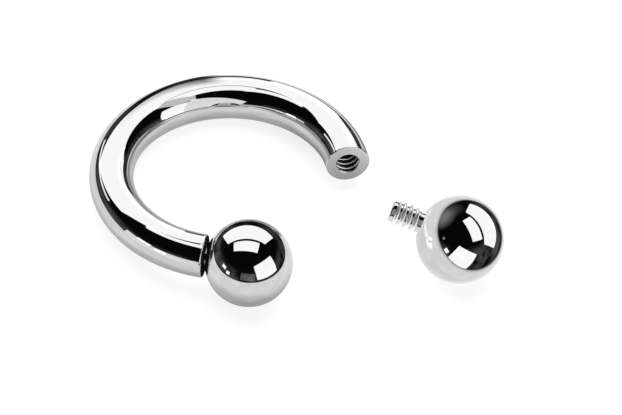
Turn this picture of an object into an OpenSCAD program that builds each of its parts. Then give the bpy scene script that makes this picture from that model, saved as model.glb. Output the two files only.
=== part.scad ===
// Horseshoe barbell: a curved bar with a screwed-on ball at one end, and its second ball taken off.
// Millimetres, resting on a level surface at Z = 0, with the horseshoe seen from above.

/* [Bar] */
// Thickness of the curved bar
bar_d = 5; // [4.5:0.1:5.5]
// Clear width inside the horseshoe
inside_d = 22; // [20:0.5:26]
// Gap between the two end faces, as an angle of the horseshoe's circle
gap_angle = 112; // [104:1:120]
// Heading of the middle of the gap, counterclockwise from the right
gap_heading = -43; // [-55:1:-35]
// Size of the rounded edge round each end face
end_edge = 0.25; // [0.1:0.05:0.35]

/* [Balls] */
// Diameter of each ball
ball_d = 10; // [9:0.5:11]
// Gap between the screwed-on ball and the end face behind it
seat_gap = 0.03; // [0.02:0.01:0.1]
// How deep each ball is drilled for its stud
socket_depth = 3.2; // [2.5:0.1:4]

/* [Studs] */
// Diameter over the crests of the thread
thread_d = 3; // [2.9:0.05:3.1]
// Height of the thread's ridge
thread_height = 0.26; // [0.22:0.02:0.34]
// Distance between two turns of the thread
thread_pitch = 0.75; // [0.7:0.05:0.8]
// Length of stud that stands out of the ball
stud_reach = 3.7; // [3.4:0.1:4]
// Length of the plain tip
tip_length = 0.7; // [0.5:0.1:0.9]
// Length of the slim neck beside the ball
neck_length = 0.4; // [0.3:0.1:0.6]

/* [Loose ball] */
// Distance from the horseshoe's centre to the loose ball, to the right
loose_right = 26.4; // [24:0.2:32]
// Distance from the horseshoe's centre to the loose ball, to the back
loose_back = -8; // [-12:0.5:0]
// Heading of the loose stud, counterclockwise from the right
stud_heading = 168.5; // [150:0.5:200]
// Rise of the loose stud over the level
stud_rise = 14.5; // [0:0.5:40]

/* [Hidden] */

$fn = 96;
polished = [0.80, 0.81, 0.82];
machined = [0.66, 0.67, 0.68];

bar_r = bar_d / 2;
ball_r = ball_d / 2;
ring_r = inside_d / 2 + bar_r;
open_end = gap_heading + gap_angle / 2;
ball_end = gap_heading - gap_angle / 2;
bar_angle = 360 - gap_angle;

// Heights in a screw's own frame: the ball's centre at zero, the stud along +Z
face_z = ball_r + seat_gap;
tip_z = ball_r + stud_reach;
thread_end_z = tip_z - tip_length;
thread_start_z = ball_r + neck_length;

// Radii of the stud, and of the holes that it fits with a small clearance
thread_r = thread_d / 2;
root_r = thread_r - thread_height;
tip_r = root_r - 0.02;
neck_r = root_r - 0.06;
play = 0.05;
hole_r = root_r + play;
hole_rim_r = thread_r + play + 0.01;
socket_play = 0.02;
tip_chamfer = 0.25;
lead_in = 0.1;
past = 0.3;

// The ridge of the thread, wide at its root and narrow at its crest, with play beside it in a hole
ridge_root = 0.46;
ridge_crest = 0.24;
flank_play = 0.03;
steps_per_turn = 30;
taper_steps = 10;
ridge_margin = 0.06;

// Depth of the hole, and of the ring cut where its thread runs out above the plain bottom
hole_depth = stud_reach + 0.25;
runout_z = thread_end_z + 0.12;
runout_width = 0.25;

// A point of the bar's centre line, and the direction along it there, at a heading in the bar's own plane
function on_ring(a) = ring_r * [cos(a), sin(a)];
function along_ring(a) = [-sin(a), cos(a)];

// The bar's, ball's and open hole's volumes and centres give the point over which the jewel balances
bar_volume = PI * bar_r ^ 2 * ring_r * bar_angle * PI / 180;
ball_volume = 4 / 3 * PI * ball_r ^ 3;
hole_volume = PI * hole_r ^ 2 * hole_depth;
bar_centre_r = ring_r * (1 + (bar_r / ring_r) ^ 2 / 4) * sin(bar_angle / 2) / (bar_angle / 2 * PI / 180);
bar_centre = bar_centre_r * [cos(gap_heading + 180), sin(gap_heading + 180)];
ball_centre = on_ring(ball_end) + face_z * along_ring(ball_end);
hole_centre = on_ring(open_end) + hole_depth / 2 * along_ring(open_end);
balance = (bar_volume * bar_centre + ball_volume * ball_centre - hole_volume * hole_centre)
    / (bar_volume + ball_volume - hole_volume);

// It rests on the ball and on the point of the bar that is in line with the ball and the balance point
rest_line = (balance - ball_centre) / norm(balance - ball_centre);
rest_half = balance * rest_line;
rest_reach = sqrt(rest_half ^ 2 - balance * balance + ring_r ^ 2) - rest_half;
low_point = balance + rest_reach * rest_line;

// The bar leans up away from its low point until the ball's underside is level with its own
raised = -low_point / ring_r;
lean = asin((ball_r - bar_r) / (ring_r + ball_centre * raised));
ring_height = bar_r + ring_r * sin(lean);

// Reach of the leaning bar and ball and of the loose ball, which centres them all over the origin
leaning_ball = ball_centre + (cos(lean) - 1) * (ball_centre * raised) * raised;
left = -ring_r * sqrt(1 - (sin(lean) * raised[0]) ^ 2) - bar_r;
back = ring_r * sqrt(1 - (sin(lean) * raised[1]) ^ 2) + bar_r;
right = loose_right + ball_r;
front = min(leaning_ball[1], loose_back) - ball_r;
to_middle = -[left + right, front + back, 0] / 2;

// Half of the ridge's width at a radius
function ridge_half(r) = (ridge_root + (ridge_crest - ridge_root) * (r - root_r) / thread_height) / 2;

// The stud's right-handed thread: a core with a ridge that grows out of it at one end and sinks back
// at the other. The ridge has four points a step, from its lower foot over the crest to its upper foot
module stud_thread() {
    n = steps_per_turn;
    rise = thread_pitch / n;
    first = ceil((thread_start_z + ridge_margin) / rise);
    count = floor((thread_end_z - ridge_margin) / rise) - first;
    function at(r, i, z) = [r * cos(i * 360 / n), r * sin(i * 360 / n), z];
    function corner(k, m) = k == 0 ? 2 * n : k == count ? 2 * n + 1 : 2 * n + 4 * k - 2 + m;
    function quad(ll, ul, ur, lr) = [
        if (ul != ur && ll != ul) [ll, ul, ur],
        if (ll != lr && lr != ur) [ll, ur, lr]
    ];
    points = concat(
        [for (z = [thread_start_z, thread_end_z], j = [0:n - 1]) at(root_r, first + j, z)],
        [for (k = [0, count]) at(root_r, first + k, (first + k) * rise)],
        [
            for (k = [1:count - 1])
                let (
                    part = min(1, k / taper_steps, (count - k) / taper_steps),
                    i = first + k,
                    half_root = part * ridge_root / 2,
                    half_crest = part * ridge_crest / 2,
                    crest_r = root_r + part * thread_height
                )
                each [
                    at(root_r, i, i * rise - half_root),
                    at(crest_r, i, i * rise - half_crest),
                    at(crest_r, i, i * rise + half_crest),
                    at(root_r, i, i * rise + half_root)
                ]
        ]
    );
    ridge = [
        for (k = [0:count - 1], m = [0:2])
            each quad(corner(k, m), corner(k, m + 1), corner(k + 1, m + 1), corner(k + 1, m))
    ];
    valley = [
        for (k = [0:count - n - 1])
            each quad(corner(k, 3), corner(k + n, 0), corner(k + n + 1, 0), corner(k + 1, 3))
    ];
    below = concat(
        [for (j = [0:n - 2]) each quad(j, corner(j, 0), corner(j + 1, 0), j + 1)],
        [
            [n - 1, corner(n - 1, 0), corner(n, 0)],
            [n - 1, corner(n, 0), corner(0, 0)],
            [n - 1, corner(0, 0), 0]
        ]
    );
    start = count - n;
    function top(k) = n + k % n;
    above = concat(
        [for (k = [start + 1:count - 1]) each quad(corner(k, 3), top(k), top(k + 1), corner(k + 1, 3))],
        [
            [corner(start + 1, 3), corner(start, 3), corner(count, 0)],
            [corner(start + 1, 3), corner(count, 0), top(start)],
            [corner(start + 1, 3), top(start), top(start + 1)]
        ]
    );
    ends = [[for (j = [0:n - 1]) j], [for (j = [0:n - 1]) 2 * n - 1 - j]];
    polyhedron(points = points, faces = concat(ridge, valley, below, above, ends));
}

// The space in a hole for the stud's ridge, with play round it: a four-sided section swept along the
// same right-handed helix
module hole_groove() {
    inner_r = root_r - 0.15;
    inner_half = ridge_half(inner_r) + flank_play;
    rim_half = ridge_half(hole_rim_r) + flank_play;
    rise = thread_pitch / steps_per_turn;
    first = floor((face_z - 2 * past) / rise);
    count = ceil(runout_z / rise) - first;
    section = [
        [inner_r, -inner_half],
        [hole_rim_r, -rim_half],
        [hole_rim_r, rim_half],
        [inner_r, inner_half]
    ];
    points = [
        for (i = [first:first + count], p = section)
            let (a = i * 360 / steps_per_turn)
            [p[0] * cos(a), p[0] * sin(a), i * rise + p[1]]
    ];
    sides = [
        for (i = [0:count - 1], k = [0:3])
            let (a = 4 * i + k, b = 4 * i + (k + 1) % 4)
            each [[a, b + 4, a + 4], [a, b, b + 4]]
    ];
    far = 4 * count;
    ends = [[0, 2, 1], [0, 3, 2], [far, far + 1, far + 2], [far, far + 2, far + 3]];
    polyhedron(points = points, faces = concat(sides, ends));
}

// A threaded stud: plain shank in the ball, slim neck, thread, and plain chamfered tip
module stud() {
    shank_start = ball_r - socket_depth + 0.05;
    shank_end = ball_r - 0.45;
    thread_middle = (thread_start_z + thread_end_z) / 2;
    rotate_extrude()
        polygon([
            [0, shank_start],
            [thread_r - lead_in, shank_start],
            [thread_r, shank_start + lead_in],
            [thread_r, shank_end],
            [neck_r, shank_end],
            [neck_r, thread_middle],
            [tip_r, thread_middle],
            [tip_r, tip_z - tip_chamfer],
            [tip_r - tip_chamfer, tip_z],
            [0, tip_z]
        ]);
    stud_thread();
}

// The hole for a stud in the end of the bar: eased mouth, thread, run-out ring and plain blind bottom
module threaded_hole() {
    translate([0, 0, face_z - past])
        cylinder(r = hole_r, h = hole_depth + past);
    rotate_extrude()
        polygon([
            [0, face_z - past],
            [hole_r + lead_in + past, face_z - past],
            [hole_r, face_z + lead_in],
            [0, face_z + lead_in]
        ]);
    translate([0, 0, runout_z - runout_width / 2])
        cylinder(r = hole_rim_r + 0.04, h = runout_width);
    hole_groove();
}

// What is taken off round an end of the bar to round its edge
module edge_cut() {
    inset = end_edge * (1 - cos(45));
    steep = (end_edge - inset) / inset;
    rotate_extrude()
        polygon([
            [bar_r - end_edge, face_z - past],
            [bar_r - end_edge, face_z],
            [bar_r - inset, face_z + inset],
            [bar_r + past, face_z + end_edge + past * steep],
            [bar_r + past, face_z - past]
        ]);
}

// A ball, drilled for its stud, with an eased mouth
module ball() {
    mouth_r = thread_r + socket_play;
    mouth_z = sqrt(ball_r ^ 2 - mouth_r ^ 2);
    difference() {
        sphere(r = ball_r);
        translate([0, 0, ball_r - socket_depth])
            cylinder(r = mouth_r, h = socket_depth + past);
        translate([0, 0, mouth_z - 2 * lead_in])
            cylinder(r1 = mouth_r - lead_in, r2 = mouth_r + lead_in + past, h = 2 * lead_in + past);
    }
}

// The frame of the screw at each end of the bar, in the bar's own plane
module at_ball_end() {
    rotate([0, 0, ball_end])
        translate([ring_r, face_z, 0])
            rotate([90, 0, 0])
                children();
}

module at_open_end() {
    rotate([0, 0, open_end])
        translate([ring_r, -face_z, 0])
            rotate([-90, 0, 0])
                children();
}

// The bar's own plane, leaning as it rests
module resting() {
    translate(to_middle + [0, 0, ring_height])
        rotate(a = lean, v = [raised[1], -raised[0], 0])
            children();
}

// The frame of the loose ball's screw
module lying_loose() {
    translate(to_middle + [loose_right, loose_back, ball_r])
        rotate([0, 90 - stud_rise, stud_heading])
            children();
}

module curved_bar() {
    color(polished)
        resting()
            difference() {
                rotate([0, 0, open_end])
                    rotate_extrude(angle = bar_angle)
                        translate([ring_r, 0])
                            circle(r = bar_r);
                at_ball_end() {
                    threaded_hole();
                    edge_cut();
                }
                at_open_end() {
                    threaded_hole();
                    edge_cut();
                }
            }
}

module front_ball() {
    color(polished)
        resting()
            at_ball_end()
                ball();
}

module front_stud() {
    color(machined)
        resting()
            at_ball_end()
                stud();
}

module loose_ball() {
    color(polished)
        lying_loose()
            ball();
}

module loose_stud() {
    color(machined)
        lying_loose()
            stud();
}

curved_bar();
front_ball();
front_stud();
loose_ball();
loose_stud();
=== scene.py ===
import math

import bpy
import numpy as np
from mathutils import Matrix


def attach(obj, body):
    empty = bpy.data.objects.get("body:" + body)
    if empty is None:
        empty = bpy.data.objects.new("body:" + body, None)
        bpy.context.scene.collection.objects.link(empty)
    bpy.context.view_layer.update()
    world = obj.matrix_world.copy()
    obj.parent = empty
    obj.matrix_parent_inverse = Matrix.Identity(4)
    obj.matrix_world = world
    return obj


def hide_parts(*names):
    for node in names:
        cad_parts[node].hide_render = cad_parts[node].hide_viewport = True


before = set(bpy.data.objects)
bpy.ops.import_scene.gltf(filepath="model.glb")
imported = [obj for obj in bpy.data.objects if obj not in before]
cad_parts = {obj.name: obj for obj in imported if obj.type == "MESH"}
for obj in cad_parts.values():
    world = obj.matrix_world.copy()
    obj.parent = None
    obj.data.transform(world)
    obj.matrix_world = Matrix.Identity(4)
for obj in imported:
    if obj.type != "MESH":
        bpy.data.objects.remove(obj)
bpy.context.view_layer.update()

# All sizes are in millimetres and degrees unless a comment says otherwise, and a radius is named ..._R.
# The bar, the arc that it follows, where the arc ends, and how far the edges of its two ends are rounded
BAR_R = 2.5
RING_R = 13.5
OPEN_END = 13.0
BALL_END = -99.0
OPEN_EDGE = 0.14
BALL_EDGE = 0.22
# How many rings of the rounded edge at the ball's end are still polished; past them the end is painted near
# black, as painted shade of the gap under the ball
STILL_POLISHED = 5

# Heights along a screw's axis, here and below, count from the centre of the ball that is screwed on.
# The balls, the bar's end face, and the socket that holds the stud, with its eased lip
BALL_R = 5.0
FACE_Z = 5.03
SOCKET_DEPTH = 3.2
SOCKET_LIP = 0.09
# How far inside the socket's wall the two rings of its floor lie
SOCKET_FLOOR_IN = np.array([0.05, 0.4])

# The stud: its crests, the root between them, its neck, its plain tip, the socket round it, and its shank,
# which has a chamfer at its foot
THREAD_R = 1.5
ROOT_R = 1.24
NECK_R = 1.18
TIP_R = 1.22
SOCKET_R = THREAD_R + 0.02
SHANK_R = THREAD_R - 0.08
SHANK_CHAMFER = 0.08
SHANK_START = BALL_R - SOCKET_DEPTH + 0.05
SHANK_END = BALL_R - 0.45
THREAD_START = 5.2
THREAD_END = 8.0
TIP_Z = 8.52
TIP_EDGE = 0.24

# The thread: its pitch, half a ridge's width in turns, and the height over which a ridge grows or sinks
PITCH = 0.75
RIDGE_HALF = 0.31
RIDGE_FADE = 0.2

# The tapped hole: the bore, the bottom of its groove, the run-out ring below the thread, and the lead-in
HOLE_R = 1.29
GROOVE_R = 1.56
HOLE_DEPTH = 3.95
RUNOUT_Z = 8.12
RUNOUT_WIDTH = 0.25
RUNOUT_WALL = 0.03
RUNOUT_DEEPER = 1.12
LEAD_IN = 0.1
# How far inside the bore's wall the first two rings at its bottom lie
HOLE_FLOOR_IN = np.array([[0.3], [0.03]])
# Its groove: half its width and the width of its flanks, in turns, and the height over which it begins
GROOVE_HALF = 0.38
GROOVE_FLANK = 0.2
GROOVE_FADE = 0.3
# Where the groove has run out: just inside the face of the open end, and past the face at the other end
OPEN_GROOVE_END = FACE_Z + 0.12
BALL_GROOVE_END = FACE_Z - 0.3

# Where it rests: the horseshoe's centre, its lean and the heading it leans up towards, the loose ball
RING_CENTRE = np.array([-7.70832, 1.55658, 3.75205])
LEAN = 5.3215
RAISED = -57.6333
LOOSE_CENTRE = np.array([18.69168, -6.44342, 5.0])
LOOSE_HEADING = 168.5
LOOSE_RISE = 14.5

# Points round the bar, a ball or a stud, and a step that keeps one ring of points clear of the next
AROUND = 144
HAIR = 0.02

# A millimetre in metres
MM = 0.001


def turning(axis, degrees):
    """The matrix of a turn about an axis: Rodrigues' formula, cos I + sin K + (1 - cos) a a^T."""
    a = np.array(axis, float)
    a = a / np.linalg.norm(a)
    c = math.cos(math.radians(degrees))
    s = math.sin(math.radians(degrees))
    cross = np.array([[0, -a[2], a[1]], [a[2], 0, -a[0]], [-a[1], a[0], 0]])
    return c * np.eye(3) + s * cross + (1 - c) * np.outer(a, a)


X, Y, Z = np.eye(3)
HEADING = math.radians(RAISED)
LEANING = turning([math.sin(HEADING), -math.cos(HEADING), 0], LEAN)


def resting(points):
    """Points of the horseshoe's own plane, turned by its lean and moved to its centre."""
    return points @ LEANING.T + RING_CENTRE


def at_ball_end(points):
    """Points of the screwed-on ball's frame (ball's centre at zero, stud along +Z), as they rest."""
    on_bar = points @ turning(X, 90).T + np.array([RING_R, FACE_Z, 0])
    return resting(on_bar @ turning(Z, BALL_END).T)


def at_open_end(points):
    """Points of the open end's screw frame (its face at z = FACE_Z, the hole along +Z), as they rest."""
    on_bar = points @ turning(X, -90).T + np.array([RING_R, -FACE_Z, 0])
    return resting(on_bar @ turning(Z, OPEN_END).T)


def lying_loose(points):
    """Points of the loose ball's frame (ball's centre at zero, stud along +Z), as it lies."""
    turn = turning(Z, LOOSE_HEADING) @ turning(Y, 90 - LOOSE_RISE)
    return points @ turn.T + LOOSE_CENTRE


def smooth(t):
    """The smooth step 3t^2 - 2t^3 of t held between 0 and 1."""
    t = np.clip(t, 0, 1)
    return t * t * (3 - 2 * t)


def revolved(radius, height, angle):
    """Rings of points (r cos a, r sin a, z): radius is one number a ring, or one a point of each ring."""
    radius, height, angle = np.broadcast_arrays(radius, height, angle)
    return np.stack([radius * np.cos(angle), radius * np.sin(angle), height], axis=-1)


def along(values, steps):
    """A line through the values with steps[i] equal steps from value i to value i + 1."""
    parts = [np.linspace(a, b, n, endpoint=False) for a, b, n in zip(values, values[1:], steps)]
    return np.concatenate(parts + [np.array(values[-1:], float)])


def from_axis(rows):
    """How far each point of some rings lies from the frame's z axis: the root of x^2 + y^2."""
    return np.linalg.norm(rows[..., :2], axis=-1)


def closed_faces(rings, columns):
    """The faces over rings of points: four-sided ones from row j to row j + 1, where the last column joins
    the first, then a fan of triangles from each end row to its pole. The poles are the last two points."""
    j, i = np.meshgrid(np.arange(rings - 1), np.arange(columns), indexing="ij")
    k = (i + 1) % columns
    here = j * columns
    beyond = here + columns
    sides = np.stack([here + i, here + k, beyond + k, beyond + i], -1).reshape(-1, 4)
    column = np.arange(columns)
    after = (column + 1) % columns
    last_row = (rings - 1) * columns
    first_fan = np.stack([after, column, np.full(columns, rings * columns)], -1)
    last_fan = np.stack([last_row + column, last_row + after, np.full(columns, rings * columns + 1)], -1)
    return sides.tolist() + first_fan.tolist() + last_fan.tolist()


def skin(name, rows, poles, bands, materials, body, node, across=None):
    """A piece with a closed surface over rings of points. bands lists the first row of each material, and
    across gives a number for each point, which the materials read as its distance from the axis."""
    rings, columns = rows.shape[:2]
    points = np.concatenate([rows.reshape(-1, 3), np.array(poles)]) * MM
    mesh = bpy.data.meshes.new(name)
    mesh.from_pydata(points.tolist(), [], closed_faces(rings, columns))
    for material in materials:
        mesh.materials.append(material)
    of_row = np.searchsorted(np.array(bands), np.arange(rings - 1), side="right") - 1
    index = np.concatenate([np.repeat(of_row, columns), np.repeat(of_row[[0, -1]], columns)])
    mesh.polygons.foreach_set("material_index", index.astype(np.int32))
    mesh.polygons.foreach_set("use_smooth", np.ones(len(index), bool))
    if across is not None:
        marks = mesh.attributes.new("across", "FLOAT", "POINT")
        marks.data.foreach_set("value", np.concatenate([across.ravel(), [0.0, 0.0]]).astype(np.float32))
    mesh.update()
    piece = bpy.data.objects.new(name, mesh)
    bpy.context.scene.collection.objects.link(piece)
    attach(piece, body)
    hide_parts(node)
    return piece


def thread_phase(height, angle):
    """How far a point lies from the middle of the ridge, in turns of the thread, from 0 to one half. The
    ridge's middle is where z = pitch x angle / 360, right-handed."""
    turns = height / PITCH - angle / (2 * math.pi)
    return np.abs(turns - np.round(turns))


def hole_rings(angle, groove_end):
    """Rings of a threaded hole in the screw's frame: the deep part below the thread, then the threaded part
    up to the lead-in. The deep part's radius is the bore's plus the run-out ring, after a bottom that closes
    in. The threaded part's is the bore's plus the groove, where the phase is near zero."""
    bottom = FACE_Z + HOLE_DEPTH
    ring_low = RUNOUT_Z - RUNOUT_WIDTH / 2
    ring_high = RUNOUT_Z + RUNOUT_WIDTH / 2
    below_ring = along([bottom, ring_high + HAIR], [12])
    deep_z = np.concatenate([below_ring, along([ring_high, ring_low], [10])])[:, None]
    wall = np.minimum(deep_z - ring_low + HAIR, ring_high + HAIR - deep_z) / RUNOUT_WALL
    deep_r = HOLE_R + RUNOUT_DEEPER * (GROOVE_R - HOLE_R) * smooth(wall)
    deep_r[:2] = HOLE_R - HOLE_FLOOR_IN
    height = along([ring_low - HAIR / 2, FACE_Z + LEAD_IN], [120])[:, None]
    begins = smooth((height - groove_end) / GROOVE_FADE)
    groove = smooth((GROOVE_HALF - thread_phase(height, angle)) / GROOVE_FLANK) * begins
    threaded_r = HOLE_R + (GROOVE_R - HOLE_R) * groove
    return revolved(deep_r, deep_z, angle), revolved(threaded_r, height, angle)


def end_rings(angle, groove_end, edge_r):
    """Rings of an end of the bar in the screw's frame: the hole, then the lead-in cone and the flat face as
    radii between the hole and the bar, then the rounded edge as a quarter circle."""
    deep, thread = hole_rings(angle, groove_end)
    mouth = from_axis(thread[-1])
    face_in = HOLE_R + LEAD_IN
    face_out = BAR_R - edge_r
    cone_part = np.array([0.04, 0.1, 0.5, 0.9, 0.96])[:, None]
    cone = revolved(mouth + (face_in - mouth) * cone_part, FACE_Z + LEAD_IN * (1 - cone_part), angle)
    face_part = np.array([0.0, 0.04, 0.1, 0.2, 0.35, 0.5, 0.65, 0.8, 0.95, 1.0])[:, None]
    face = revolved(face_in + (face_out - face_in) * face_part, FACE_Z, angle)
    quarter = np.radians(along([0, 90], [8]))[1:, None]
    edge = revolved(face_out + edge_r * np.sin(quarter), FACE_Z + edge_r * (1 - np.cos(quarter)), angle)
    return [deep, thread, np.concatenate([cone, face]), edge]


def curved_bar(polished, faced, painted_shade_end, tapped, deep):
    """The horseshoe: a circle of the bar's radius carried along the ring's arc, between its two ends. With
    R and r for the two radii, a point of the tube is ((R + r cos p) cos a, (R + r cos p) sin a, r sin p)."""
    psi = np.linspace(0, -2 * math.pi, AROUND, endpoint=False)
    open_end = end_rings(-psi, OPEN_GROOVE_END, OPEN_EDGE)
    ball_end = [rings[::-1] for rings in end_rings(psi, BALL_GROOVE_END, BALL_EDGE)[::-1]]
    arc_from = OPEN_END + math.degrees(OPEN_EDGE / RING_R)
    arc_to = 360 + BALL_END - math.degrees(BALL_EDGE / RING_R)
    arc = np.radians(along([arc_from, arc_to], [300]))[1:-1, None]
    reach = RING_R + BAR_R * np.cos(psi)
    tube = np.stack([reach * np.cos(arc), reach * np.sin(arc), BAR_R * np.sin(psi) + 0 * arc], -1)
    parts = [at_open_end(rings) for rings in open_end] + [resting(tube)]
    parts += [at_ball_end(rings) for rings in ball_end]
    tube_across = np.full(tube.shape[:2], BAR_R)
    across = [from_axis(rings) for rings in open_end] + [tube_across]
    across += [from_axis(rings) for rings in ball_end]
    first = np.cumsum([0] + [len(part) for part in parts])
    # The deep part of each hole, below its thread, is painted near black as painted shade
    open_end_bands = [0, first[1], first[2] - 1, first[3] - 1]
    # At the ball's end, past the polished rings, the end is painted near black: painted shade of the gap
    # under the ball
    ball_end_bands = [first[5] + STILL_POLISHED, first[7] - 1, first[8] - 1]
    bottom = np.array([0, 0, FACE_Z + HOLE_DEPTH])
    return skin(
        "curved_bar_polished",
        np.concatenate(parts),
        [at_open_end(bottom), at_ball_end(bottom)],
        open_end_bands + ball_end_bands,
        [deep, tapped, faced, polished, painted_shade_end, tapped, deep],
        "bar",
        "curved_bar",
        np.concatenate(across),
    )


def ball(name, place, polished, bored, body, node):
    """A ball with a blind hole: rings from the far pole over the sphere (R sin t, R cos t) to the mouth,
    which is eased by a quarter circle, then down the bore and in over its floor."""
    angle = np.linspace(0, 2 * math.pi, AROUND, endpoint=False)
    mouth_at = math.degrees(math.asin((SOCKET_R + SOCKET_LIP) / BALL_R))
    latitude = np.radians(along([180, mouth_at], [150]))[1:]
    sphere_r = BALL_R * np.sin(latitude)
    sphere_z = BALL_R * np.cos(latitude)
    rounding = np.radians(along([0, 90], [6]))[1:]
    lip_r = SOCKET_R + SOCKET_LIP * (1 - np.sin(rounding))
    lip_z = sphere_z[-1] - SOCKET_LIP * (1 - np.cos(rounding))
    floor_r = SOCKET_R - SOCKET_FLOOR_IN
    floor_z = BALL_R - SOCKET_DEPTH
    bore_z = along([lip_z[-1] - HAIR, floor_z], [24])
    bore_r = np.full(len(bore_z), SOCKET_R)
    radius = np.concatenate([sphere_r, lip_r, bore_r, floor_r])[:, None]
    height = np.concatenate([sphere_z, lip_z, bore_z, np.full(len(floor_r), floor_z)])[:, None]
    rows = revolved(radius, height, angle)
    poles = [place(np.array([0, 0, -BALL_R])), place(np.array([0, 0, floor_z]))]
    bands = [0, len(sphere_r) + len(lip_r)]
    return skin(name, place(rows), poles, bands, [polished, bored], body, node)


def stud(name, place, turned, body, node):
    """A stud: rings from the shank's foot to the plain tip. In the thread the radius is the root's, plus a
    ridge of half an ellipse where the phase is near zero, which grows and sinks over 0.2 mm at the ends of
    the thread. The tip ends in a rounded edge, a quarter circle."""
    angle = np.linspace(0, 2 * math.pi, AROUND, endpoint=False)
    neck_end = THREAD_START + HAIR
    height = np.concatenate([
        along([SHANK_START, SHANK_START + SHANK_CHAMFER, SHANK_END - HAIR], [3, 20]),
        along([SHANK_END, SHANK_END + 2 * HAIR, neck_end], [3, 24]),
        along([neck_end + HAIR / 2, THREAD_END], [130])[:-1],
        along([THREAD_END, TIP_Z - TIP_EDGE], [18])[:-1],
    ])[:, None]
    grows = smooth((height - THREAD_START) / RIDGE_FADE)
    sinks = smooth((THREAD_END + HAIR - height) / RIDGE_FADE)
    round_ridge = np.sqrt(np.clip(1 - (thread_phase(height, angle) / RIDGE_HALF) ** 2, 0, 1))
    ridge = round_ridge * np.minimum(grows, sinks)
    shank = SHANK_R + np.clip(height - SHANK_START, 0, SHANK_CHAMFER)
    plain = np.where(height < neck_end, NECK_R, ROOT_R)
    plain = np.where(height >= THREAD_END, TIP_R, plain)
    radius = np.where(height < SHANK_END, shank, plain + (THREAD_R - ROOT_R) * ridge)
    quarter = np.radians(along([0, 90], [8]))[:, None]
    tip_r = TIP_R - TIP_EDGE * (1 - np.cos(quarter))
    tip_z = TIP_Z - TIP_EDGE * (1 - np.sin(quarter))
    rows = np.concatenate([revolved(radius, height, angle), revolved(tip_r, tip_z, angle)])
    poles = [place(np.array([0, 0, SHANK_START])), place(np.array([0, 0, TIP_Z]))]
    across = from_axis(rows)
    return skin(name, place(rows), poles, [0], [turned], body, node, across)


def mapped(tree, value, start, end, low, high, easing="SMOOTHSTEP"):
    """A change from low to high while the value goes from start to end: smooth, or even if LINEAR."""
    change = tree.nodes.new("ShaderNodeMapRange")
    change.interpolation_type = easing
    change.inputs["From Min"].default_value = start
    change.inputs["From Max"].default_value = end
    change.inputs["To Min"].default_value = low
    change.inputs["To Max"].default_value = high
    tree.links.new(value, change.inputs["Value"])
    return change.outputs["Result"]


def calculated(tree, operation, *terms):
    """The result of one step of arithmetic in a Math node. A term is a number or another node's output."""
    step = tree.nodes.new("ShaderNodeMath")
    step.operation = operation
    for socket, term in zip(step.inputs, terms):
        if isinstance(term, float):
            socket.default_value = term
        else:
            tree.links.new(term, socket)
    return step.outputs["Value"]


def distance_from(tree, point, middle):
    """How far a point lies from a middle, in metres."""
    away = tree.nodes.new("ShaderNodeVectorMath")
    away.operation = "DISTANCE"
    away.inputs[1].default_value = tuple(middle)
    tree.links.new(point, away.inputs[0])
    return away.outputs["Value"]


def across_of(tree):
    """A point's distance from the axis in millimetres, from the piece's across attribute."""
    away = tree.nodes.new("ShaderNodeAttribute")
    away.attribute_name = "across"
    return away.outputs["Fac"]


# Where most of a noise's values lie, and how deep a metal's dents are, in metres
NOISE_SPAN = (0.35, 0.65)
DENT_DEPTH = 0.00002


def metal(name, tint, roughness, scale, bump, in_rings=False):
    """A bare metal: one noise makes its roughness wander between two values and dents it by bump. The noise
    fills the object's space, and its scale is for a metre. In rings it runs round the axis instead, and its
    scale is for a millimetre."""
    material = bpy.data.materials.new(name)
    material.use_nodes = True
    tree = material.node_tree
    shader = tree.nodes["Principled BSDF"]
    shader.inputs["Base Color"].default_value = (*tint, 1)
    shader.inputs["Metallic"].default_value = 1
    noise = tree.nodes.new("ShaderNodeTexNoise")
    noise.inputs["Scale"].default_value = scale
    noise.inputs["Detail"].default_value = 4
    if in_rings:
        noise.noise_dimensions = "1D"
        tree.links.new(across_of(tree), noise.inputs["W"])
    else:
        coordinates = tree.nodes.new("ShaderNodeTexCoord")
        tree.links.new(coordinates.outputs["Object"], noise.inputs["Vector"])
    rough = mapped(tree, noise.outputs["Fac"], *NOISE_SPAN, *roughness, easing="LINEAR")
    tree.links.new(rough, shader.inputs["Roughness"])
    dents = tree.nodes.new("ShaderNodeBump")
    dents.inputs["Strength"].default_value = bump
    dents.inputs["Distance"].default_value = DENT_DEPTH
    tree.links.new(noise.outputs["Fac"], dents.inputs["Height"])
    tree.links.new(dents.outputs["Normal"], shader.inputs["Normal"])
    return material


def dulled(material):
    """Takes a metal's gloss away, so that it is as dark as its tint under every light. It is used for the
    painted shade on the bar's end under the screwed-on ball.
    """
    shader = material.node_tree.nodes["Principled BSDF"]
    shader.inputs["Metallic"].default_value = 0
    shader.inputs["Specular IOR Level"].default_value = 0


def changed_across(material, socket, start, end, low, high):
    """Changes one number of a metal from low to high while the distance from the axis goes from start to
    end, in millimetres."""
    tree = material.node_tree
    change = mapped(tree, across_of(tree), start, end, low, high)
    tree.links.new(change, tree.nodes["Principled BSDF"].inputs[socket])


def painted_shade_in_the_grooves(material):
    """Changes a tapped hole's colour outwards: a painted highlight on the thread's inner edges, painted
    shade in its grooves.
    """
    changed_across(material, "Base Color", HOLE_R + 0.06, HOLE_R + 0.16, low=0.9, high=0.03)


def painted_bright_crests(material):
    """Brightens and roughens a stud's metal outwards: glossy at the root, and on the crests a painted
    highlight in the colour, with more roughness.
    """
    changed_across(material, "Base Color", ROOT_R + 0.05, THREAD_R - 0.06, low=0.62, high=0.98)
    changed_across(material, "Roughness", ROOT_R + 0.05, THREAD_R - 0.06, low=0.13, high=0.42)


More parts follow.
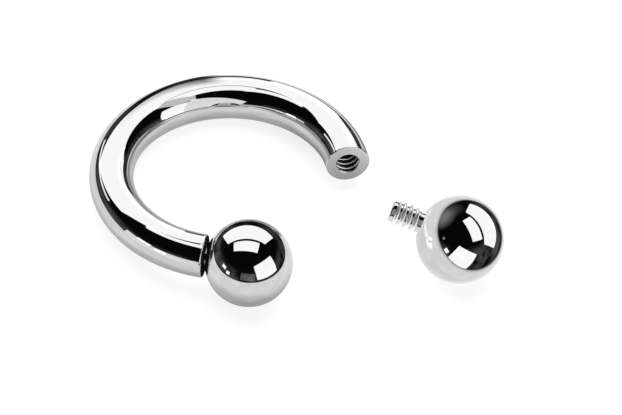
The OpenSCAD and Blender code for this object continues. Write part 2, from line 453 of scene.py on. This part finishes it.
def turned_rings(material, dark, light):
    """Varies a metal's colour from dark to light in fine rings round the axis, by its roughness's noise."""
    tree = material.node_tree
    noise = tree.nodes["Noise Texture"].outputs["Fac"]
    tone = mapped(tree, noise, *NOISE_SPAN, dark, light, easing="LINEAR")
    tree.links.new(tone, tree.nodes["Principled BSDF"].inputs["Base Color"])


# The photograph's view: its heading, tilt and roll over the horseshoe's own plane, and then the camera's
# right, up and backward arrows
VIEW_HEADING = 2.432
TILT = math.radians(42.7684)
ROLL = math.radians(0.8156)
VIEW_TURN = LEANING @ turning(Z, VIEW_HEADING)
VIEW_BACK = VIEW_TURN @ np.array([0, -math.cos(TILT), math.sin(TILT)])
VIEW_LEVEL = VIEW_TURN @ np.array([0, math.sin(TILT), math.cos(TILT)])
VIEW_RIGHT = math.cos(ROLL) * (VIEW_TURN @ X) + math.sin(ROLL) * VIEW_LEVEL
VIEW_UP = math.cos(ROLL) * VIEW_LEVEL - math.sin(ROLL) * (VIEW_TURN @ X)
# How far the middle of the picture lies to the right of the ring's centre and below it, the camera's
# distance, the picture's scale and width, and the camera's own sensor
PICTURE_RIGHT = 9.119
PICTURE_DOWN = 3.482
VIEW_MIDDLE = RING_CENTRE + VIEW_RIGHT * PICTURE_RIGHT - VIEW_UP * PICTURE_DOWN
VIEW_DISTANCE = 1800.0
PIXELS_A_MM = 8.827
PICTURE_WIDTH = 622
SENSOR_WIDTH = 36


def posed(axes, place):
    """The matrix of an object at a place in metres, whose own x, y and z point along the three axes."""
    pose = np.eye(4)
    pose[:3, :3] = np.transpose(axes)
    pose[:3, 3] = place
    return Matrix(pose)


def camera():
    """The photograph's view: from so far off that it is almost parallel, 47 degrees over the table."""
    view = bpy.data.cameras.new("camera")
    view.sensor_width = SENSOR_WIDTH
    view.lens = PIXELS_A_MM * VIEW_DISTANCE / PICTURE_WIDTH * SENSOR_WIDTH
    view.clip_start = 0.05
    view.clip_end = 20
    eye = bpy.data.objects.new("camera", view)
    bpy.context.scene.collection.objects.link(eye)
    place = (VIEW_MIDDLE + VIEW_BACK * VIEW_DISTANCE) * MM
    eye.matrix_world = posed((VIEW_RIGHT, VIEW_UP, VIEW_BACK), place)
    bpy.context.scene.camera = eye


def matt_sheet(name, corners, finish, colour):
    """A flat sheet of the stage between four corners, in metres, with a matt finish."""
    mesh = bpy.data.meshes.new(name)
    mesh.from_pydata(corners, [], [(0, 1, 2, 3)])
    sheet = bpy.data.objects.new(name, mesh)
    bpy.context.scene.collection.objects.link(sheet)
    material = bpy.data.materials.new(finish)
    material.use_nodes = True
    shader = material.node_tree.nodes["Principled BSDF"]
    shader.inputs["Base Color"].default_value = (colour, colour, colour, 1)
    shader.inputs["Roughness"].default_value = 1
    shader.inputs["Specular IOR Level"].default_value = 0
    mesh.materials.append(material)
    return sheet, material.node_tree


# The table: half its side in metres, its own colour, its own glow, and how much more light falls on it
TABLE_HALF = 3.0
TABLE_COLOUR = 0.3
TABLE_OWN_GLOW = 0.8
TABLE_GAIN = 2.0


def table_top():
    """The pale table: a large flat square. It glows so much that shadows on it stay light. The metal mirrors
    the table's lit disc instead, which table_glow() makes for each group of pieces."""
    half = TABLE_HALF
    corners = [(-half, -half, 0), (half, -half, 0), (half, half, 0), (-half, half, 0)]
    table, tree = matt_sheet("table_top", corners, "pale_table", TABLE_COLOUR)
    shader = tree.nodes["Principled BSDF"]
    shader.inputs["Emission Color"].default_value = (1, 1, 1, 1)
    shader.inputs["Emission Strength"].default_value = TABLE_OWN_GLOW
    table.visible_glossy = False
    return table


# The smoky card in metres: its near and far end on the table, its top, the height from which it thins out,
# the height over which it does so, which grows along -x, the stretches of x over which it comes in at its
# far end and goes out at its near end, and how dense it is where it is full
CARD_NEAR = (-0.0089, 0.01826)
CARD_FAR = (-0.034, 0.0408)
CARD_TOP = 0.034
CARD_THIN_FROM = 0.0055
CARD_THIN_OVER = 0.005
CARD_THIN_GROWTH = 0.6
CARD_THIN_SPAN = (-0.1, 1.1)
CARD_FAR_FADE = (-0.031, -0.021)
CARD_NEAR_FADE = (-0.0125, -0.0089)
CARD_COLOUR = 0.01
CARD_DENSITY = 0.95


def smoky_card():
    """A dark card behind the ring, which only the metal sees. It stands in line with the loose ball, which
    sees just its edge. It thins out upwards, over a height that grows with the distance from the ring: the
    thickness falls with (z - 5.5 mm) / (5 mm - 0.6 x). It also fades at both of its ends."""
    corners = [(*CARD_NEAR, 0), (*CARD_FAR, 0), (*CARD_FAR, CARD_TOP), (*CARD_NEAR, CARD_TOP)]
    card, tree = matt_sheet("smoky_card", corners, "smoky_dark", CARD_COLOUR)
    parts = tree.nodes.new("ShaderNodeSeparateXYZ")
    tree.links.new(tree.nodes.new("ShaderNodeTexCoord").outputs["Object"], parts.inputs["Vector"])
    x = parts.outputs["X"]
    above = calculated(tree, "SUBTRACT", parts.outputs["Z"], CARD_THIN_FROM)
    growth = calculated(tree, "MULTIPLY", x, CARD_THIN_GROWTH)
    over = calculated(tree, "SUBTRACT", CARD_THIN_OVER, growth)
    share = calculated(tree, "DIVIDE", above, over)
    thick = mapped(tree, share, *CARD_THIN_SPAN, CARD_DENSITY, 0.0)
    far_end = mapped(tree, x, *CARD_FAR_FADE, 0.0, 1.0)
    near_end = mapped(tree, x, *CARD_NEAR_FADE, 1.0, 0.0)
    ends = calculated(tree, "MULTIPLY", far_end, near_end)
    alpha = calculated(tree, "MULTIPLY", thick, ends)
    tree.links.new(alpha, tree.nodes["Principled BSDF"].inputs["Alpha"])
    card.visible_camera = False
    card.visible_diffuse = False
    card.visible_shadow = False


# Lights: the middle as an arrow from a ball's centre, the two sides as arrows, and the brightness
LAMPS = {
    "left_lamp": ((-256, -118, 40), (24, -52, 0), (0, 0, 36), 1.5),
    "lower_lamp": ((-224, -186, 12), (28, -36, 0), (0, 0, 40), 1.5),
}
OVERHEAD = {
    "back_softbox": ((-29, 216, 205), (588, -1.5, 104), (-20, -186, 194), 1.5),
    "top_softbox": ((-67, 10, 300), (362, -25, 0), (13, -155, 0), 1.5),
}
ROUND_THE_FRONT_BALL = {
    **OVERHEAD,
    "side_softbox": ((178, -151, 89), (-168, -198, 0), (-57, 37, 176), 1.5),
    **LAMPS,
    "front_card": ((0, -297, 46), (190, 0, 0), (0, 0, 104), 0.11),
}
ROUND_THE_LOOSE_BALL = {
    **OVERHEAD,
    "side_softbox": ((183, -154.3, 73.5), (-168, -198, 0), (-66.8, 43.7, 207), 1.5),
    "drop_lamp": ((51, -295, 7), (60, 10, 0), (0, 0, 50), 1.5),
    "faint_lamp": ((-103, -279, 39), (30, -10, 0), (0, 0, 30), 0.3),
}
ROUND_THE_STUD = {
    "back_softbox": ((-29, 240, 170), (588, -1.5, 104), (-20, -150, 150), 1.5),
    "front_card": ((0, -220, 205), (600, 0, 0), (0, 245, 263), 0.34),
}
ROUND_THE_BAR = {
    **LAMPS,
    "back_softbox": ((-41, 206, 214), (512, -1.3, 90.6), (-30.7, -165.9, 170.8), 1.5),
    "back_strip": ((82, 317.7, 116.8), (307, -0.8, 54.4), (-13.8, -74.7, 76.9), 1.5),
    "low_back_softbox": ((56, 357, 70), (98, 0, 17), (-24.5, -132.7, 136.6), 1.5),
    "top_softbox": ((27, 40.5, 300), (174, 0, 0), (0, -133, 0), 1.5),
    "slanting_strip": ((-212, 178, 67), (-98.9, -144.6, 71.2), (0, 0, 30), 1.3),
    "corner_card": ((171.6, -19.3, 300), (132.5, -229.5, 0), (123, 71, 0), 0.8),
    "slanting_softbox": ((-104.5, 55.2, 300), (-150, 119.4, 0), (50.5, 63.4, 0), 1.5),
    "side_card": ((224.9, -78.1, 101.3), (-74.6, -106.5, 0), (-72.9, 51.1, 190.8), 1.5),
    "front_card": ((44, -324, 115), (-275.5, -393, 0), (-85.1, 59.7, 222.9), 1.1),
    "low_card": ((-223, -200, 5), (254, -282, 0), (0, 0, 90), 1.0),
}

# How far the loose ball's lights and lit table are turned in the picture
LOOSE_TURN = -60

# From here on, the places and reaches of light are in metres.
# Faint hazes on the loose ball: the direction along the camera's right, up and backward arrows, the
# brightness and the reach, all at one distance
HAZES = (
    ("upper_haze", -0.296, 0.954, 0.045, 0.07, 0.17),
    ("edge_haze", -0.6, 0.76, 0.25, 0.25, 0.19),
)
HAZE_DISTANCE = 0.3
# How bright the lit table is for each group of pieces, and what its shade leaves of that in the middle
FRONT_GLOW = 1.0
FRONT_DIM = 0.2
BAR_GLOW = 0.95
BAR_DIM = 0.4
LOOSE_GLOW = 1.0
LOOSE_DIM = 0.85
STUD_GLOW = 1.1
STUD_DIM = 0.9
# How far the shade reaches under a ball, and to either side of the bar's middle line
BALL_SHADE = 0.013
BAR_SHADE = 0.009
# Between which two distances the lit table fades out, for the others and for the loose ball
TABLE_RIM = (0.056, 0.066)
LOOSE_TABLE_RIM = (0.02, 0.075)
# How much further the disc of light reaches than the place where it has faded out
RIM_ROOM = 0.002
# The bright patch of table in front of the open end, which lights its face
PATCH_MIDDLE = np.array([0.0085, -0.0025, 0.0])
PATCH_GLOW = 0.5
PATCH_RIM = (0.0, 0.0105)
# The dark spot of table that the outer side of the open end mirrors
SPOT_MIDDLE = (0.0105, 0.014, 0.0)
SPOT_DIM = 0.4
SPOT_RIM = (0.009, 0.017)

# The dark room: how bright it is, what the camera sees instead, up to which height its clouds show, as a
# part of the way up, their scale, which values of their noise make them, and how bright they are
ROOM_GLOW = 0.003
ROOM_SEEN = 0.9
CLOUDS_UP_TO = 0.45
CLOUD_SCALE = 2.2
CLOUD_SPAN = (0.4, 0.62)
CLOUD_GLOW = (0.004, 0.11)


def hang(light, axes, place, lit):
    """Hangs a light at a place, out of the camera's sight. It lights only the pieces of one collection."""
    lamp = bpy.data.objects.new(light.name, light)
    bpy.context.scene.collection.objects.link(lamp)
    lamp.matrix_world = posed(axes, place)
    lamp.visible_camera = False
    lamp.light_linking.receiver_collection = lit


def softbox(name, arrows, brightness, home, turn, lit):
    """A flat rectangular light round home: its middle and its two sides as arrows, all turned. Its own z
    points away from home, because a light shines along its -z."""
    centre, wide, tall = (MM * turn @ np.array(arrow, float) for arrow in arrows)
    width = np.linalg.norm(wide)
    across = wide / width
    tall = tall - across * (tall @ across)
    height = np.linalg.norm(tall)
    up = tall / height
    back = np.cross(across, up)
    if back @ centre < 0:
        across, back = -across, -back
    light = bpy.data.lights.new(name, "AREA")
    light.shape = "RECTANGLE"
    light.size = width
    light.size_y = height
    light.energy = brightness * math.pi * width * height
    hang(light, (across, up, back), home * MM + centre, lit)


def lights_round(group, pieces, lights, home, turn=np.eye(3), gain=1.0):
    """A set of lights for one group of pieces. Returns the collection that they light."""
    lit = bpy.data.collections.new("lit_" + group)
    for piece in pieces:
        lit.objects.link(piece)
    for name, (centre, wide, tall, brightness) in lights.items():
        softbox(group + "_" + name, (centre, wide, tall), gain * brightness, home, turn, lit)
    return lit


def table_glow(name, lit, middle, turn, glow, rim, shade):
    """The lit table as some pieces mirror it: a disc of light with a soft rim, which shines along the turned
    z axis. shade(tree, place) gives the share that shows at each place."""
    radius = rim[1] + RIM_ROOM
    light = bpy.data.lights.new(name, "AREA")
    light.shape = "DISK"
    light.size = 2 * radius
    light.energy = math.pi * math.pi * radius ** 2
    light.use_nodes = True
    tree = light.node_tree
    place = tree.nodes.new("ShaderNodeNewGeometry").outputs["Position"]
    disc = mapped(tree, distance_from(tree, place, middle), *rim, glow, 0.0)
    strength = calculated(tree, "MULTIPLY", disc, shade(tree, place))
    tree.links.new(strength, tree.nodes["Emission"].inputs["Strength"])
    hang(light, (turn @ Y, turn @ X, turn @ -Z), middle, lit)


def under_a_ball(middle, dim):
    """The shade under a ball: dim where it touches, all light from 13 mm off."""
    def shade(tree, place):
        return mapped(tree, distance_from(tree, place, middle), 0.0, BALL_SHADE, dim, 1.0)
    return shade


def unshaded(middle):
    """No shade at all."""
    return under_a_ball(middle, 1.0)


def under_the_ring(tree, place):
    """The shade under the bar, dim below its middle line and all light from 9 mm off, times the shade of one
    dark spot, dim up to 9 mm from its middle and all light from 17 mm off."""
    middle = (RING_CENTRE[0] * MM, RING_CENTRE[1] * MM, 0.0)
    off = calculated(tree, "SUBTRACT", distance_from(tree, place, middle), RING_R * MM)
    either_side = calculated(tree, "ABSOLUTE", off)
    below_bar = mapped(tree, either_side, 0.0, BAR_SHADE, BAR_DIM, 1.0)
    spot = mapped(tree, distance_from(tree, place, SPOT_MIDDLE), *SPOT_RIM, SPOT_DIM, 1.0)
    return calculated(tree, "MULTIPLY", below_bar, spot)


def dark_room():
    """The room: plain and pale to the camera, and to the metal almost black, with faint clouds low down."""
    world = bpy.data.worlds.new("dark_studio")
    world.use_nodes = True
    tree = world.node_tree
    direction = tree.nodes.new("ShaderNodeTexCoord").outputs["Generated"]
    parts = tree.nodes.new("ShaderNodeSeparateXYZ")
    tree.links.new(direction, parts.inputs["Vector"])
    low_down = mapped(tree, parts.outputs["Z"], CLOUDS_UP_TO, 0.0, 0.0, 1.0)
    clouds = tree.nodes.new("ShaderNodeTexNoise")
    clouds.inputs["Scale"].default_value = CLOUD_SCALE
    clouds.inputs["Detail"].default_value = 3
    tree.links.new(direction, clouds.inputs["Vector"])
    haze = mapped(tree, clouds.outputs["Fac"], *CLOUD_SPAN, *CLOUD_GLOW, easing="LINEAR")
    dark = calculated(tree, "ADD", calculated(tree, "MULTIPLY", low_down, haze), ROOM_GLOW)
    seen = tree.nodes.new("ShaderNodeMix")
    seen.data_type = "RGBA"
    tree.links.new(dark, seen.inputs["A"])
    seen.inputs["B"].default_value = (ROOM_SEEN, ROOM_SEEN, ROOM_SEEN, 1)
    path = tree.nodes.new("ShaderNodeLightPath")
    tree.links.new(path.outputs["Is Camera Ray"], seen.inputs["Factor"])
    tree.links.new(seen.outputs["Result"], tree.nodes["Background"].inputs["Color"])
    bpy.context.scene.world = world
    bpy.context.scene.view_settings.view_transform = "Standard"


def studio(table, bar, front, loose_ball, loose_stud):
    """Softboxes, cards and small lamps in a dark room. Each group of pieces has its own, with its own lit
    table, and the loose ball's are turned by 60 degrees in the picture."""
    upright = np.eye(3)
    turned_away = turning(VIEW_BACK, LOOSE_TURN)
    front_centre = at_ball_end(np.zeros(3))
    lights_round("table", [table], ROUND_THE_FRONT_BALL, front_centre, gain=TABLE_GAIN)
    front_lit = lights_round("front", front, ROUND_THE_FRONT_BALL, front_centre)
    bar_lit = lights_round("bar", [bar], ROUND_THE_BAR, front_centre)
    loose_lit = lights_round("loose", [loose_ball], ROUND_THE_LOOSE_BALL, LOOSE_CENTRE, turned_away)
    stud_lit = lights_round("stud", [loose_stud], ROUND_THE_STUD, LOOSE_CENTRE)

    below = (front_centre - BALL_R * Z) * MM
    shade = under_a_ball(below, FRONT_DIM)
    table_glow("front_glow", front_lit, below, upright, FRONT_GLOW, TABLE_RIM, shade)
    below = RING_CENTRE * np.array([MM, MM, 0])
    table_glow("bar_glow", bar_lit, below, upright, BAR_GLOW, TABLE_RIM, under_the_ring)
    patch = PATCH_MIDDLE
    table_glow("gap_glow", bar_lit, patch, upright, PATCH_GLOW, PATCH_RIM, unshaded(patch))
    below = (LOOSE_CENTRE + turned_away @ (-BALL_R * Z)) * MM
    shade = under_a_ball(below, LOOSE_DIM)
    table_glow("loose_glow", loose_lit, below, turned_away, LOOSE_GLOW, LOOSE_TABLE_RIM, shade)
    for name, right, up, back, glow, reach in HAZES:
        way = right * VIEW_RIGHT + up * VIEW_UP + back * VIEW_BACK
        way = way / np.linalg.norm(way)
        turn = turning(np.cross(Z, -way), math.degrees(math.acos(-way[2])))
        middle = LOOSE_CENTRE * MM + HAZE_DISTANCE * way
        table_glow(name, loose_lit, middle, turn, glow, (0.0, reach), unshaded(middle))
    below = (LOOSE_CENTRE - BALL_R * Z) * MM
    shade = under_a_ball(below, STUD_DIM)
    table_glow("stud_glow", stud_lit, below, upright, STUD_GLOW, TABLE_RIM, shade)
    dark_room()


# The metals: the tint, the least and the most roughness, the noise's scale and how strongly it dents
polished = metal("polished_steel", (0.62, 0.62, 0.622), (0.02, 0.045), 900, 0.02)
faced = metal("faced_end", (0.52, 0.52, 0.522), (0.2, 0.34), 7, 0.08, in_rings=True)
# Painted shade: the bar's end under the screwed-on ball is near black and without gloss, standing in for the
# shade of the gap
painted_shade_end = metal("painted_shade_end_metal", (0.025, 0.025, 0.025), (0.3, 0.42), 18, 0.35, in_rings=True)
tapped = metal("tapped_hole", (0.6, 0.6, 0.602), (0.24, 0.36), 1500, 0.1)
# Painted shade: the deep part of each hole below the thread is near black in colour
deep = metal("painted_shade_hole_bottom", (0.05, 0.05, 0.05), (0.4, 0.5), 1500, 0.1)
turned = metal("turned_thread", (0.66, 0.66, 0.662), (0.1, 0.18), 1500, 0.05)
bored = metal("bored_socket", (0.45, 0.45, 0.45), (0.2, 0.3), 1500, 0.1)
dulled(painted_shade_end)
# Painted highlight on the hole's thread edges and painted shade in its grooves
painted_shade_in_the_grooves(tapped)
# Painted highlight: the stud's crests are brighter in colour than the steel, and rougher
painted_bright_crests(turned)
turned_rings(faced, 0.44, 0.59)

bar = curved_bar(polished, faced, painted_shade_end, tapped, deep)
front_ball = ball("front_ball_polished", at_ball_end, polished, bored, "ball", "front_ball")
front_stud = stud("front_stud_turned", at_ball_end, turned, "stud", "front_stud")
loose_ball = ball("loose_ball_polished", lying_loose, polished, bored, "bar", "loose_ball")
loose_stud = stud("loose_stud_turned", lying_loose, turned, "bar", "loose_stud")
# The loose pieces aren't mirrored in the others
loose_ball.visible_glossy = False
loose_stud.visible_glossy = False

smoky_card()
studio(table_top(), bar, [front_ball, front_stud], loose_ball, loose_stud)
camera()
